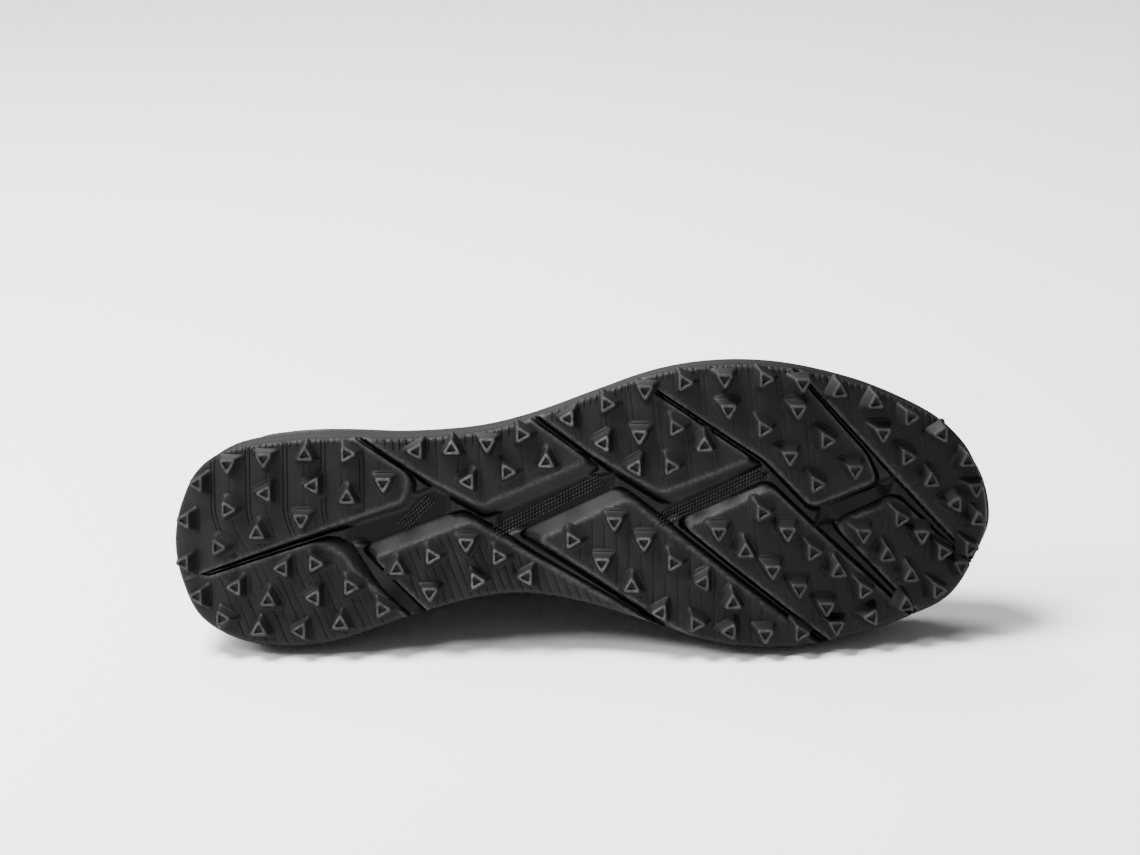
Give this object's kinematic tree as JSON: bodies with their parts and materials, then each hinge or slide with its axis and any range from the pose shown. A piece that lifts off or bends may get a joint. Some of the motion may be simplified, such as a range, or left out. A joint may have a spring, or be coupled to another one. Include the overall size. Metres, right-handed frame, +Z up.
{
  "type": "football turf shoe",
  "caption": "Right shoe for football on turf: rubber tread with low triangular studs in raised pads, foam midsole, laced low upper. Empty, lying on its medial side.",
  "frame": {"origin": "bottom centre of the bounding box, on the floor that the shoe lies on", "axes": "+X from heel to toe, the sole faces -Y and slightly up, the shoe's lateral side is up along +Z"},
  "size_m": [0.2842, 0.1342, 0.0996],
  "materials": {
    "outsole_rubber": "satin black moulded rubber",
    "midsole_foam": "matt black moulded foam",
    "insole_textile": "matt black knitted textile on foam",
    "upper_synthetic": "matt black grained synthetic leather",
    "tongue_textile": "matt black padded mesh",
    "overlay_film": "satin black welded film",
    "lace_polyester": "black flat woven lace"
  },
  "bodies": {
    "root": {"outsole": "outsole_rubber", "midsole": "midsole_foam", "insole": "insole_textile", "upper": "upper_synthetic", "tongue": "tongue_textile", "eyestay": "overlay_film", "toe_guard": "overlay_film", "lace_bar": "lace_polyester", "lace_crossing_1": "lace_polyester", "lace_crossing_2": "lace_polyester", "lace_crossing_3": "lace_polyester", "lace_crossing_4": "lace_polyester", "lace_crossing_5": "lace_polyester"}
  },
  "joints": []
}
